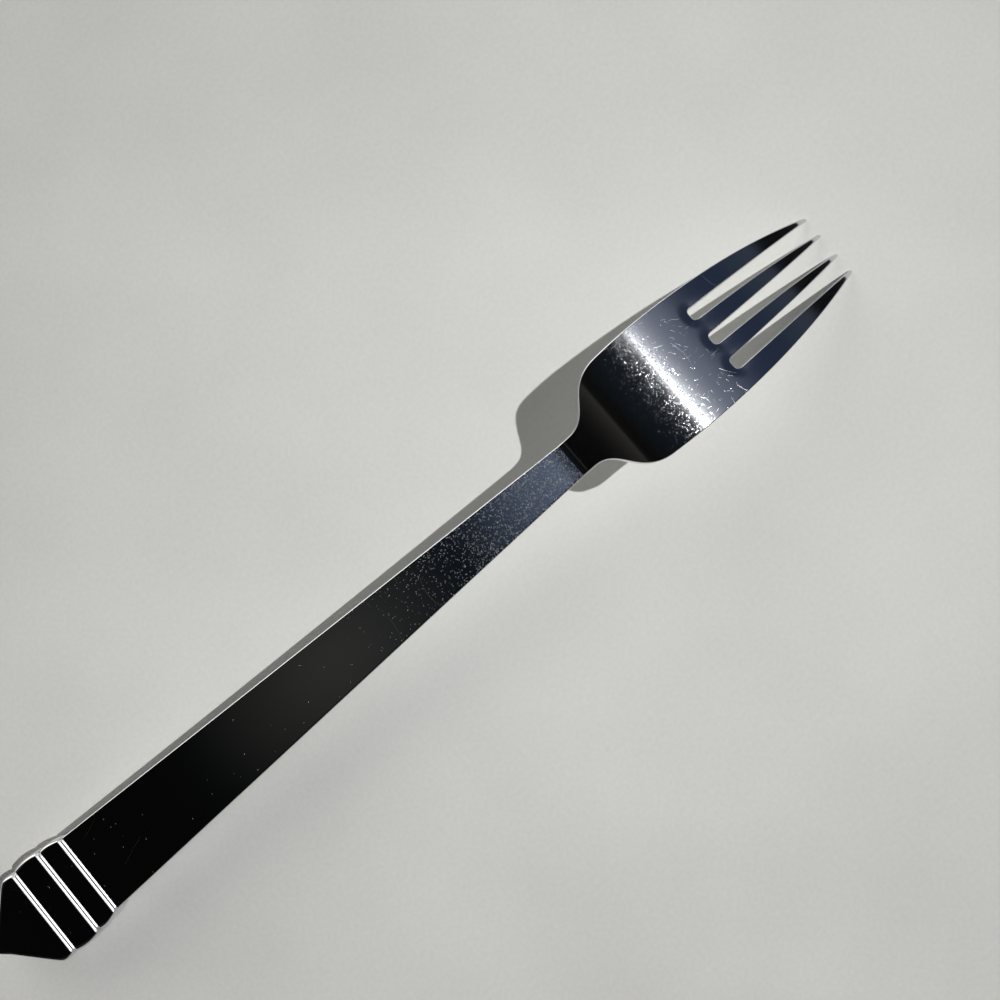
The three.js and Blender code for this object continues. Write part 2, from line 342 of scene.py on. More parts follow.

# %% [markdown]
# ## Table
# The fork lies on a sheet of off-white paper. A broad, faint cloudiness and fine fibres keep the sheet from
# looking painted. Its colour is also painted palest round the head and darker away from it. This painted
# pool of light fades slowly from there and leads the eye to the fork.

# %% Paper on the table
PAPER = (0.632, 0.632, 0.607)
# The paper runs from a darker tone to a paler one. Clouds and fibres vary it at random, and a painted pool
# of light makes it pale round the head and darker away from it.
PALE_AND_LIT_TONE, DARK_AND_SHADED_TONE = 1.26, 0.63
PAINTED_LIGHT_REACH, PAINTED_LIGHT_STRETCH = 0.18, 0.87
PAINTED_LIGHT_AHEAD, PAINTED_LIGHT_ASIDE = 20 * MM, -7 * MM
PAPER_CLOUDS, PAPER_FIBRES = 18, 1100
CLOUD_SHARE, FIBRE_SHARE, PAINTED_LIGHT_SHARE = 0.4, 0.2, 0.6
TABLE_REACH = 3.0


def paper_finish():
    finish, tree, surface, place = new_finish("off_white_paper")
    clouds = noise(tree, place, (PAPER_CLOUDS,) * 3, 6.0)
    fibres = noise(tree, place, (PAPER_FIBRES,) * 3, 3.0)
    x, y, _ = parts_of(tree, place)
    # Painted light: the colour is palest round the head and darker farther away. This stands in for light
    # falling off on the table and is not the paper's own tone.
    along = (x - (mouth_x + PAINTED_LIGHT_AHEAD)) * PAINTED_LIGHT_STRETCH
    aside = y - PAINTED_LIGHT_ASIDE
    near = 1 - root(along * along + aside * aside).share(0.0, PAINTED_LIGHT_REACH)
    tone = clouds * CLOUD_SHARE + (fibres - 0.5) * FIBRE_SHARE + near * PAINTED_LIGHT_SHARE
    dark_and_shaded_paper, pale_and_lit_paper = ([tint * part for part in PAPER] for tint in (DARK_AND_SHADED_TONE, PALE_AND_LIT_TONE))
    tree.links.new(two_tones(tree, tone, dark_and_shaded_paper, pale_and_lit_paper), surface.inputs["Base Color"])
    surface.inputs["Roughness"].default_value = 0.9
    surface.inputs["Specular IOR Level"].default_value = 0.1
    return finish


table_mesh = bpy.data.meshes.new("table")
corners = [(x * TABLE_REACH, y * TABLE_REACH, 0) for x, y in ((-1, -1), (1, -1), (1, 1), (-1, 1))]
table_mesh.from_pydata(corners, [], [(0, 1, 2, 3)])
table_mesh.materials.append(paper_finish())
table = bpy.data.objects.new("table", table_mesh)
scene.collection.objects.link(table)
print("table reaches", TABLE_REACH, "m each way")

# %% [markdown]
# ## Marks of use
# A fork that is used gets fine scratches in all directions and a grain of tiny dents. Both come from
# Voronoi cells, because a cell knows how far a point lies from its middle and has three random numbers of
# its own. In one cell in so many the numbers give a scratch its direction and its bow, or a dent its lean.
# The cells are tall, so that the curved metal hardly cuts from one layer of them into the next.

# %% Scratches and dents
CELL_HEIGHT = 5


def random_cells(tree, place, cell):
    """How far a point lies from its cell's middle, in cells, and the cell's three random numbers."""
    stretch = tree.nodes.new("ShaderNodeMapping")
    stretch.inputs["Scale"].default_value = (1 / cell, 1 / cell, 1 / (cell * CELL_HEIGHT))
    plug(tree, place, stretch.inputs["Vector"])
    cells = tree.nodes.new("ShaderNodeTexVoronoi")
    cells.inputs["Scale"].default_value = 1.0
    tree.links.new(stretch.outputs[0], cells.inputs["Vector"])
    offset = tree.nodes.new("ShaderNodeVectorMath")
    offset.operation = "SUBTRACT"
    tree.links.new(stretch.outputs[0], offset.inputs[0])
    tree.links.new(cells.outputs["Position"], offset.inputs[1])
    x, y, _ = parts_of(tree, offset.outputs[0])
    chance = tree.nodes.new("ShaderNodeSeparateColor")
    tree.links.new(cells.outputs["Color"], chance.inputs[0])
    return x, y, [Num(tree, socket) for socket in chance.outputs]


def scratches(tree, place, cell, width, kept):
    """1 on the scratches, 0 beside them; kept is the share of cells that have one."""
    x, y, (draw, bow, direction) = random_cells(tree, place, cell)
    angle = direction * math.pi
    cosine, sine = angle.math("COSINE"), angle.math("SINE")
    along = x * cosine + y * sine
    aside = y * cosine - x * sine + along * along * (bow - 0.5)
    line = 1 - aside.math("ABSOLUTE").share(0.0, width / cell)
    return line * draw.math("LESS_THAN", kept)


def dents(tree, place, cell, kept, steepest):
    """Dented cells lean, each its own way: where they are, and the metal's height in metres."""
    x, y, (draw, *leans) = random_cells(tree, place, cell)
    height = 0.0
    for offset, lean in zip((x, y), leans):
        height = offset * (lean * 2 - 1) + height
    there = draw.math("LESS_THAN", kept)
    return there, height * there * (steepest * cell)


print("marks of use ready")

# %% [markdown]
# ## Polished steel
# Steel is a metal all through, so only its roughness and its tiny relief change over the surface. Wheels
# polished the fork along its length. Marks that fine can't be drawn one by one: anisotropy spreads the
# light across them instead, which is what stretches the sun into a bar. Wear is a relief of a few hundredths
# of a millimetre at most, duller than the polish and without its direction. It gathers in patches, and its
# little slopes catch the sun as specks. The grooves are left rougher by the tool.

# %% Steel finishes
ACROSS_THE_FORK = (0.0, 1.0, 0.0)
TOOLED_ROUGHNESS, TOOLED_REACH = 0.5, 0.55 * MM
DENT = 0.19 * MM
SCRATCH_DEPTH = 0.003 * MM
LONG_SCRATCH, LONG_WIDTH, LONG_EXTRA = 4.5 * MM, 0.03 * MM, 0.03
SHORT_SCRATCH, SHORT_WIDTH = 0.9 * MM, 0.035 * MM
PATCHES, LEAST_WEAR, WEAR_SWING = (110, 150, 150), 0.2, 1.6


def steel(name, colour, polish, worn, spread, lean, wear, joints):
    """A steel finish: the roughness of the polish and of the worn spots, the anisotropy, the steepest dents,
    a rule for the dented and the scratched share along the fork, and the places of the grooves."""
    finish, tree, surface, place = new_finish(name)
    x, _, _ = parts_of(tree, place)
    surface.inputs["Base Color"].default_value = (*colour, 1)
    surface.inputs["Metallic"].default_value = 1.0

    patches = noise(tree, place, PATCHES, 4.0) * WEAR_SWING + LEAST_WEAR
    dent_share, scratch_share = (part * patches for part in wear(x))
    dented, grain = dents(tree, place, DENT, dent_share, lean)
    long_ones = scratches(tree, place, LONG_SCRATCH, LONG_WIDTH, scratch_share + LONG_EXTRA)
    short_ones = scratches(tree, place, SHORT_SCRATCH, SHORT_WIDTH, scratch_share)
    marks = long_ones.math("MAXIMUM", short_ones)
    used = marks.math("MAXIMUM", dented)
    plug(tree, spread - used * spread, surface.inputs["Anisotropic"])
    roughness = polish + used * (worn - polish)
    for joint in joints:
        tooled = (x - joint).math("ABSOLUTE").math("LESS_THAN", TOOLED_REACH)
        roughness = choose(tooled, TOOLED_ROUGHNESS, roughness)
    plug(tree, roughness, surface.inputs["Roughness"])

    relief = tree.nodes.new("ShaderNodeBump")
    relief.inputs["Strength"].default_value = 1.0
    relief.inputs["Distance"].default_value = 1.0
    plug(tree, grain - marks * SCRATCH_DEPTH, relief.inputs["Height"])
    tree.links.new(relief.outputs[0], surface.inputs["Normal"])

    across = tree.nodes.new("ShaderNodeCombineXYZ")
    for socket, part in zip(across.inputs, ACROSS_THE_FORK):
        socket.default_value = part
    tree.links.new(across.outputs[0], surface.inputs["Tangent"])
    return finish


print("steel is", TOOLED_ROUGHNESS, "rough in the grooves")

# %% [markdown]
# Every piece is worn where it is touched. The crest of the head touches the table when the fork lies the
# other way up, fingers hold the handle near the neck, and the bands are hardly worn. A rule for each gives
# the shares of dented and of scratched surface, so the three finishes differ only in a few numbers.

# %% Wear of the three finishes
WEAR_START, WEAR_FULL, GRAIN_END = 13.5 * MM, 21.6 * MM, 25 * MM
SCRATCHES_FADE, SCRATCHES_END = 28 * MM, 34 * MM
HEAD_GRAIN, HEAD_SCRATCHES = 0.25, 0.35
HANDLE_WEAR_START = 60 * MM
HANDLE_GRAIN, HANDLE_SCRATCHES = 0.25, 0.15
LEAST_GRAIN, LEAST_SCRATCHES = 0.001, 0.003
BAND_GRAIN, BAND_SCRATCHES = 0.001, 0.006


def head_wear(x):
    """Most on the crest, and none at the neck and on the tines."""
    rising = x.share(mouth_x + WEAR_START, mouth_x + WEAR_FULL)
    dented = rising * (1 - x.share(mouth_x + WEAR_FULL, mouth_x + GRAIN_END)) * HEAD_GRAIN
    scratched = rising * (1 - x.share(mouth_x + SCRATCHES_FADE, mouth_x + SCRATCHES_END)) * HEAD_SCRATCHES
    return dented, scratched


def handle_wear(x):
    """Grows from the middle of the handle towards the neck."""
    growing = x.share(handle_x + HANDLE_WEAR_START, mouth_x).smooth()
    return growing * growing * HANDLE_GRAIN + LEAST_GRAIN, growing * HANDLE_SCRATCHES + LEAST_SCRATCHES


def band_wear(_):
    return BAND_GRAIN, BAND_SCRATCHES


head_steel = steel(
    "head_steel_polish", colour=(0.66, 0.67, 0.69), polish=0.145, worn=0.185,
    spread=0.73, lean=0.075, wear=head_wear, joints=[],
)
handle_steel = steel(
    "handle_steel_polish", colour=(0.64, 0.65, 0.67), polish=0.10, worn=0.31,
    spread=0.3, lean=0.13, wear=handle_wear, joints=[handle_x],
)
band_steel = steel(
    "band_steel_polish", colour=(0.66, 0.66, 0.67), polish=0.08, worn=0.25,
    spread=0.3, lean=0.1, wear=band_wear, joints=[ring_x, collar_x, handle_x],
)
print("steel finishes:", head_steel.name, handle_steel.name, band_steel.name)

# %% [markdown]
# ## The fork's own lines
# Seen from the side, the fork's back is a chain of arcs. An arc is written through its bend, which is one
# over its radius. That form stays exact for the handle's very long radius, where a circle's centre would be
# far off. The handle is one such arc, with a little more bend just before the neck.

# %% Back line of the handle
HANDLE_TILT = math.radians(1.6)
HANDLE_BEND = 1 / (2200 * MM)
HANDLE_REAR_BACK = 7.6 * MM
HANDLE_REAR_WIDTH, HANDLE_MOUTH_WIDTH = 17.5 * MM, 7.2 * MM
HANDLE_REAR_THICKNESS, HANDLE_MOUTH_THICKNESS = 6.7 * MM, 3.6 * MM
MOUTH_EASE, MOUTH_BEND = 2.5 * MM, 1 / (40 * MM)


def arc_height(x, start_x, start_z, start_angle, bend):
    """Height at x of an arc that starts at a point with a slope; a positive bend curves upwards."""
    run = x - start_x
    sine = run * bend + math.sin(start_angle)
    rise = run * (sine + math.sin(start_angle))
    return rise / (root(1 - sine * sine) + math.cos(start_angle)) + start_z


neck_x = mouth_x + SOLID_GAP


def handle_back(x):
    """The long bend, and a last little bend before the neck."""
    line = arc_height(x, handle_x, HANDLE_REAR_BACK, HANDLE_TILT, HANDLE_BEND)
    bent = share(x, neck_x - MOUTH_EASE, neck_x) * MOUTH_EASE
    return bent * bent * (MOUTH_BEND / 2) + line


neck_z = handle_back(neck_x)
print("back of the handle at the neck:", round(neck_z / MM, 2), "mm high")

# %% [markdown]
# The head goes on from the neck: a tight bend, a gentle rise, the crest, a wider arc, a nearly flat slope,
# and one arc down the tines. Every arc takes over the place and the slope where the last one ends, so that
# reflections run over the joints without a kink.

# %% Chain of arcs of the head
NECK_RADIUS = 4 * MM
RISE_ANGLE, RISE_LENGTH = math.radians(27.5), 8.26 * MM
CREST_RADIUS, CREST_RISE, CREST_FALL = 20 * MM, math.radians(24), math.radians(14)
EASE_RADIUS, EASE_FALL = 80 * MM, math.radians(17.5)
SLOPE_LENGTH, SLOPE_BEND = 7 * MM, -1 / (450 * MM)
CREST_THICKNESS, TIP_THICKNESS = 2.4 * MM, 1.1 * MM
NOSE_LENGTH, NOSE_THICKNESS = 3 * MM, 0.45 * MM

line_angle = math.asin(math.sin(HANDLE_TILT) + (neck_x - handle_x) * HANDLE_BEND)
neck_angle = line_angle + MOUTH_EASE * MOUTH_BEND
rise_x = neck_x + NECK_RADIUS * (math.sin(RISE_ANGLE) - math.sin(neck_angle))
rise_z = arc_height(rise_x, neck_x, neck_z, neck_angle, 1 / NECK_RADIUS)
rise_bend = (math.sin(CREST_RISE) - math.sin(RISE_ANGLE)) / RISE_LENGTH
crest_x = rise_x + RISE_LENGTH
crest_z = arc_height(crest_x, rise_x, rise_z, RISE_ANGLE, rise_bend)
ease_x = crest_x + CREST_RADIUS * (math.sin(CREST_RISE) + math.sin(CREST_FALL))
ease_z = arc_height(ease_x, crest_x, crest_z, CREST_RISE, -1 / CREST_RADIUS)
slope_x = ease_x + EASE_RADIUS * (math.sin(EASE_FALL) - math.sin(CREST_FALL))
slope_z = arc_height(slope_x, ease_x, ease_z, -CREST_FALL, -1 / EASE_RADIUS)
tines_x = slope_x + SLOPE_LENGTH
tines_z = arc_height(tines_x, slope_x, slope_z, -EASE_FALL, SLOPE_BEND)
tines_angle = math.asin(SLOPE_LENGTH * SLOPE_BEND - math.sin(EASE_FALL))
tip_angle = 2 * math.atan2(TIP_THICKNESS - tines_z, tip_x - tines_x) - tines_angle
tine_bend = (math.sin(tip_angle) - math.sin(tines_angle)) / (tip_x - tines_x)
crest_top = crest_z + CREST_RADIUS * (1 - math.cos(CREST_RISE))
print("crest:", round(crest_top / MM, 2), "mm high, solid:", round(cad_high.z / MM, 2), "mm")

# %% [markdown]
# ## Building and running a node tree
# A Geometry Nodes tree is a recipe with named inputs. These helpers make an empty recipe, read where a point
# lies, and put it somewhere else.

# %% Tree helpers
def new_tree(name, sizes):
    """An empty recipe: the tree, its geometry, its sizes by name, and the socket where the result goes."""
    tree = bpy.data.node_groups.new(name, "GeometryNodeTree")
    tree.interface.new_socket("Geometry", in_out="INPUT", socket_type="NodeSocketGeometry")
    tree.interface.new_socket("Geometry", in_out="OUTPUT", socket_type="NodeSocketGeometry")
    for label in sizes:
        tree.interface.new_socket(label, in_out="INPUT", socket_type="NodeSocketFloat")
    tree.interface.new_socket("Finish", in_out="INPUT", socket_type="NodeSocketMaterial")
    entry = tree.nodes.new("NodeGroupInput")
    inputs = {label: Num(tree, entry.outputs[label]) for label in sizes}
    realize = tree.nodes.new("GeometryNodeRealizeInstances")
    dress = tree.nodes.new("GeometryNodeSetMaterial")
    leave = tree.nodes.new("NodeGroupOutput")
    tree.links.new(realize.outputs[0], dress.inputs["Geometry"])
    tree.links.new(entry.outputs["Finish"], dress.inputs["Material"])
    tree.links.new(dress.outputs[0], leave.inputs[0])
    return tree, entry.outputs["Geometry"], inputs, realize.inputs[0]


def position_parts(tree):
    return parts_of(tree, tree.nodes.new("GeometryNodeInputPosition").outputs[0])


def place_points(tree, geometry, x, y, z):
    """Puts every point where three formulas say."""
    join = tree.nodes.new("ShaderNodeCombineXYZ")
    for socket, value in zip(join.inputs, (x, y, z)):
        plug(tree, value, socket)
    move = tree.nodes.new("GeometryNodeSetPosition")
    tree.links.new(geometry, move.inputs["Geometry"])
    tree.links.new(join.outputs[0], move.inputs["Position"])
    return move.outputs[0]


print("recipes can be written")

# %% [markdown]
# A recipe runs on an object with the sizes of this fork, and its result is kept as a plain mesh, which is
# what a finished piece has to be. Finishing a piece joins the points that fall together, turns the faces
# outwards and marks the sharp edges. It also counts the open edges: a closed piece has none.

# %% Making and finishing pieces
MERGE_REACH = 1e-7
SHARP_ANGLE = math.radians(22)


def run_tree(piece, tree, sizes):
    """Runs a recipe on an object and leaves its result there as a plain mesh."""
    modifier = piece.modifiers.new(tree.name, "NODES")
    modifier.node_group = tree
    for item in tree.interface.items_tree:
        if item.in_out == "INPUT" and item.name in sizes:
            modifier[item.identifier] = sizes[item.name]
    evaluated = piece.evaluated_get(bpy.context.evaluated_depsgraph_get())
    result = bpy.data.meshes.new_from_object(evaluated)
    piece.modifiers.remove(modifier)
    piece.data = result


def finish_piece(piece, finish):
    """Closes the mesh, turns its faces outwards and shades it smooth between sharp edges."""
    mesh = piece.data
    work = bmesh.new()
    work.from_mesh(mesh)
    bmesh.ops.remove_doubles(work, verts=work.verts, dist=MERGE_REACH)
    bmesh.ops.recalc_face_normals(work, faces=work.faces)
    open_edges = sum(1 for edge in work.edges if not edge.is_manifold)
    work.to_mesh(mesh)
    work.free()
    mesh.materials.clear()
    mesh.materials.append(finish)
    mesh.shade_smooth()
    mesh.set_sharp_from_angle(angle=SHARP_ANGLE)
    print(piece.name, "has", len(mesh.polygons), "faces and", open_edges, "open edges")


def new_piece(name, points, faces):
    mesh = bpy.data.meshes.new(name)
    mesh.from_pydata(points, [], faces)
    piece = bpy.data.objects.new(name, mesh)
    scene.collection.objects.link(piece)
    return piece


print("edges are sharp from", round(math.degrees(SHARP_ANGLE)), "degrees")

# %% [markdown]
# ## Head: the flat blank
# A real head is cut from sheet as a flat blank and then pressed to its curve. The same two steps work
# here. The blank's outline is drawn with straight lines, arcs and Bezier curves, for one half and its mirror
# image.

# %% Curves of the outline
OUTLINE_STEP, TIP_STEPS = 0.3 * MM, 12
TIP_RADIUS = 0.35 * MM
nose_x = tip_x - TIP_RADIUS


def curve(*points):
    """Points of a Bezier curve with these control points, evenly stepped, without the first."""
    controls = [np.array(point) for point in points]
    length = sum(np.linalg.norm(b - a) for a, b in zip(controls, controls[1:]))
    steps = max(2, round(length / OUTLINE_STEP))
    made = []
    for step in range(1, steps + 1):
        level = controls
        while len(level) > 1:
            level = [a + (b - a) * step / steps for a, b in zip(level, level[1:])]
        made.append(tuple(level[0]))
    return made


def tip_round(middle_y):
    """Half a circle round the end of a tine, from its outer to its inner side."""
    turns = [math.pi / 2 - math.pi * step / TIP_STEPS for step in range(1, TIP_STEPS + 1)]
    return [(nose_x + TIP_RADIUS * math.cos(a), middle_y + TIP_RADIUS * math.sin(a)) for a in turns]


print("outline is drawn in steps of", round(OUTLINE_STEP / MM, 2), "mm")

# %% [markdown]
# The side leaves the neck straight, swings out through a soft curve to the shoulder, and follows one wide
# arc from there to the outer tine's end.

# %% Side of the head
NECK_LENGTH, NECK_EASE = 2.5 * MM, 5.6 * MM
SHOULDER_SETBACK, SHOULDER_EASE = 14.5 * MM, 7.4 * MM
HEAD_WIDTH, WIDEST_SETBACK = 22.6 * MM, 25 * MM
OUTER_TIP = 6.65 * MM

head_x = mouth_x + HAIRLINE
widest_x = mouth_x + WIDEST_SETBACK
side_drop = HEAD_WIDTH / 2 - OUTER_TIP - TIP_RADIUS
side_radius = ((nose_x - widest_x) ** 2 + side_drop ** 2) / (2 * side_drop)


def side_width(x):
    return HEAD_WIDTH / 2 - side_radius + math.sqrt(side_radius**2 - (x - widest_x) ** 2)


def head_side():
    """From the neck's corner along the side to the outer tine's end."""
    neck = HANDLE_MOUTH_WIDTH / 2
    flare_x = mouth_x + NECK_LENGTH
    shoulder_x = mouth_x + SHOULDER_SETBACK
    shoulder = side_width(shoulder_x)
    slope = (widest_x - shoulder_x) / (side_radius - HEAD_WIDTH / 2 + shoulder)
    ease = (shoulder_x - SHOULDER_EASE, shoulder - SHOULDER_EASE * slope)
    edge = [(head_x, neck)]
    edge += curve(edge[-1], (flare_x, neck))
    edge += curve(edge[-1], (flare_x + NECK_EASE, neck), ease, (shoulder_x, shoulder))
    side_steps = round((nose_x - shoulder_x) / OUTLINE_STEP)
    for step in range(1, side_steps + 1):
        x = shoulder_x + (nose_x - shoulder_x) * step / side_steps
        edge.append((x, side_width(x)))
    return edge


one_half = head_side()
print("side of the head:", len(one_half), "points")

# %% [markdown]
# Each half has an outer and an inner tine, a slot between them and half of the middle slot. The outer tine
# runs straight along its slot, and the inner one swells a little on both sides.

# %% Tines and slots
TINE_LENGTH, SLOT_PITCH, SLOT_WIDTH, SLOT_ROUNDING = 32.5 * MM, 5.8 * MM, 2.45 * MM, 0.9 * MM
INNER_TIP = 2.5 * MM
TINE_BOW, BOW_SETBACK = 0.4 * MM, 12 * MM
slot_end_x = tip_x - TINE_LENGTH


def tine_edges():
    """Round the end of the outer tine, through its slot, round the inner tine and to the middle."""
    slot_x = slot_end_x + SLOT_ROUNDING
    bow_x = tip_x - BOW_SETBACK
    bow_share = (bow_x - slot_end_x) / TINE_LENGTH
    slot_outer, slot_inner = SLOT_PITCH + SLOT_WIDTH / 2, SLOT_PITCH - SLOT_WIDTH / 2
    middle_slot = SLOT_WIDTH / 2
    tip_outer, tip_inner = INNER_TIP + TIP_RADIUS, INNER_TIP - TIP_RADIUS
    bow_outer = slot_inner + (tip_outer - slot_inner) * bow_share + TINE_BOW
    bow_inner = middle_slot + (tip_inner - middle_slot) * bow_share - TINE_BOW
    edge = tip_round(OUTER_TIP)
    edge += curve(edge[-1], (slot_x, slot_outer))
    edge += curve(edge[-1], (slot_end_x, slot_outer), (slot_end_x, slot_outer - SLOT_ROUNDING))
    edge += curve(edge[-1], (slot_end_x, slot_inner + SLOT_ROUNDING))
    edge += curve(edge[-1], (slot_end_x, slot_inner), (slot_x, slot_inner))
    edge += curve(edge[-1], (bow_x, bow_outer), (nose_x, tip_outer))
    edge += tip_round(INNER_TIP)
    edge += curve(edge[-1], (bow_x, bow_inner), (slot_x, middle_slot))
    edge += curve(edge[-1], (slot_end_x, middle_slot), (slot_end_x, middle_slot - SLOT_ROUNDING))
    edge += curve(edge[-1], (slot_end_x, 0.0))
    return edge


one_half += tine_edges()
outline = np.array(one_half + [(x, -y) for x, y in reversed(one_half[:-1])])
print("outline of the blank:", len(outline), "points")

# %% [markdown]
# The blank's rim is rounded, so the outline is drawn in towards the metal in small steps, each a little
# higher than the last, like the contour lines of a hill.

# %% Rim of the blank
RIM_RADIUS = 0.28 * MM
RIM_STEPS = 5
RIM_SUPPORT = 0.06 * MM


def inward(points):
    """Unit steps towards the metal, square to the outline; at the neck's cut they run along the cut."""
    forward = np.gradient(points, axis=0)
    forward /= np.linalg.norm(forward, axis=1, keepdims=True)
    steps = np.stack([forward[:, 1], -forward[:, 0]], axis=1)
    steps[0], steps[-1] = (0, -1), (0, 1)
    return steps


def contour_lines():
    """The rim's lines from the outline to the flat, as (how far in, how far down)."""
    lines = []
    for step in range(RIM_STEPS + 1):
        angle = math.pi / 2 * step / RIM_STEPS
        lines.append((RIM_RADIUS * (1 - math.cos(angle)), RIM_RADIUS * (1 - math.sin(angle))))
    return lines + [(RIM_RADIUS + RIM_SUPPORT, 0.0)]


lines = contour_lines()
steps_in = inward(outline)
flat_edge = outline + steps_in * lines[-1][0]
print("rim of the blank:", len(lines), "contour lines")

# %% [markdown]
# The flat inside the last line is filled with triangles that stand in rows across the head. The press bends
# it along its length only, so rows across keep it smooth.

# %% Flat of the blank
ROW_STEP, COLUMN_STEP, ROW_CLEAR = 0.4 * MM, 0.7 * MM, 0.2 * MM
NEVER_ZERO = 1e-15
INSIDE_ONLY, SAME_POINT = 1, 1e-6


def inside(points, boundary):
    """Which points lie inside a closed boundary, and clear of it."""
    found = np.zeros(len(points), bool)
    clear = np.full(len(points), np.inf)
    for a, b in zip(boundary, np.roll(boundary, -1, axis=0)):
        crosses = (a[1] > points[:, 1]) != (b[1] > points[:, 1])
        if crosses.any():
            at = a[0] + (points[:, 1] - a[1]) / (b[1] - a[1] + NEVER_ZERO) * (b[0] - a[0])
            found ^= crosses & (points[:, 0] < at)
        edge = b - a
        part = np.clip((points - a) @ edge / (edge @ edge), 0, 1)
        clear = np.minimum(clear, np.linalg.norm(points - a - part[:, None] * edge, axis=1))
    return found & (clear > ROW_CLEAR)


def fill(boundary):
    """Triangles of the flat: the added points, and the faces that count boundary points first."""
    low, high = boundary.min(0), boundary.max(0)
    rows = np.arange(low[0], high[0], ROW_STEP)
    columns = np.arange(low[1], high[1], COLUMN_STEP)
    grid = np.stack(np.meshgrid(rows, columns), axis=-1).reshape(-1, 2)
    added = grid[inside(grid, boundary)]
    points = [Vector(point / MM) for point in np.vstack([boundary, added])]
    ring = list(range(len(boundary)))
    made = delaunay_2d_cdt(points, [], [ring], INSIDE_ONLY, SAME_POINT)
    source = [origins[0] for origins in made[3]]
    return added, [[source[corner] for corner in face] for face in made[2]]


added_points, flat_faces = fill(flat_edge)
print("flat of the blank:", len(flat_faces), "triangles")

# %% [markdown]
# Polishing has softened the metal round the closed ends of the slots, which the reflections show as a dark
# rim. The dip is shallow, deepest at the edge of the slot, and fades along the tines.

# %% Dips at the slots
DIP_DEPTH, DIP_REACH, DIP_FADE = 0.1 * MM, 1.8 * MM, 6 * MM


def slot_dip(points):
    """How far polishing has softened the metal round the closed ends of the slots."""
    dip = np.zeros(len(points))
    for middle in (-SLOT_PITCH, 0.0, SLOT_PITCH):
        behind = np.maximum(slot_end_x + SLOT_WIDTH / 2 - points[:, 0], 0)
        away = np.hypot(behind, points[:, 1] - middle) - SLOT_WIDTH / 2
        near = np.clip(1 - away / DIP_REACH, 0, 1)
        dip = np.maximum(dip, DIP_DEPTH * near * near * (3 - 2 * near))
    left = np.clip((slot_end_x + DIP_FADE - points[:, 0]) / DIP_FADE, 0, 1)
    return dip * left * left * (3 - 2 * left)


print("deepest dip at the slots:", round(slot_dip(outline).max() / MM, 2), "mm")

# %% [markdown]
# A sheet has two sides, so the blank has the same contours twice, below and above, and a wall between them.
# All its points still lie in one plane. Two numbers on every point, kept as attributes of the mesh, tell the
# press which side the point belongs to and how far it drops from that side.

# %% Blank with both sides
def build_blank():
    """Top and bottom contours joined by the rim's wall; below and drop say where each point belongs."""
    count = len(outline)
    points, below, drop, strips = [], [], [], []
    for side, contours in ((1.0, reversed(lines)), (0.0, lines)):
        for reach, depth in contours:
            strips.append(range(len(points), len(points) + count))
            contour = outline + steps_in * reach
            points += [(*point, 0.0) for point in contour]
            below += [side] * count
            drop += list(depth + slot_dip(contour) * (1 - side))
    faces = []
    for lower, upper in zip(strips, strips[1:]):
        for index in range(count - 1):
            faces.append((lower[index], lower[index + 1], upper[index + 1], upper[index]))
    faces.append([strip[0] for strip in strips] + [strip[-1] for strip in reversed(strips)])
    for side, strip in ((1.0, strips[0]), (0.0, strips[-1])):
        first = len(points)
        points += [(*point, 0.0) for point in added_points]
        below += [side] * len(added_points)
        drop += list(slot_dip(added_points) * (1 - side))
        names = list(strip) + list(range(first, len(points)))
        faces += [[names[corner] for corner in face] for face in flat_faces]
    blank = new_piece("tined_head", points, faces)
    for label, values in (("below", below), ("drop", drop)):
        blank.data.attributes.new(label, "FLOAT", "POINT").data.foreach_set("value", values)
    return blank


head = build_blank()
print("blank:", len(head.data.vertices), "points")

# %% [markdown]
# ## Head: the press
# The press is a node tree. It reads how far along the head a point lies, works out the height of the back
# and of the front there, and puts the point on one or the other. Its inputs are the thicknesses and the
# nose.

# %% Press tree
def named_number(tree, label):
    node = tree.nodes.new("GeometryNodeInputNamedAttribute")
    node.data_type = "FLOAT"
    node.inputs["Name"].default_value = label
    return Num(tree, node.outputs["Attribute"])


def press_tree():
    labels = ("Mouth thickness", "Crest thickness", "Tip thickness", "Nose length", "Nose drop")
    tree, blank, size, result = new_tree("press_head", labels)
    x, y, _ = position_parts(tree)
    line = handle_back(x)
    chain = (
        (neck_x, arc_height(x, neck_x, neck_z, neck_angle, 1 / NECK_RADIUS)),
        (rise_x, arc_height(x, rise_x, rise_z, RISE_ANGLE, rise_bend)),
        (crest_x, arc_height(x, crest_x, crest_z, CREST_RISE, -1 / CREST_RADIUS)),
        (ease_x, arc_height(x, ease_x, ease_z, -CREST_FALL, -1 / EASE_RADIUS)),
        (slope_x, arc_height(x, slope_x, slope_z, -EASE_FALL, SLOPE_BEND)),
        (tines_x, arc_height(x, tines_x, tines_z, tines_angle, tine_bend)),
    )
    for start, height in chain:
        line = choose(x.math("GREATER_THAN", start), height, line)

    to_crest, to_tip = x.share(neck_x, ease_x), x.share(ease_x, tip_x)
    thickness = size["Mouth thickness"] + (size["Crest thickness"] - size["Mouth thickness"]) * to_crest
    thickness = thickness + (size["Tip thickness"] - size["Crest thickness"]) * to_tip
    into_nose = 1 - ((tip_x - x) / size["Nose length"]).math("ADD", 0.0, clamp=True)
    top = line - into_nose * into_nose * size["Nose drop"]

    below, drop = (named_number(tree, label) for label in ("below", "drop"))
    height = choose(below, line - thickness + drop, top - drop)
    tree.links.new(place_points(tree, blank, x, y, height), result)
    return tree


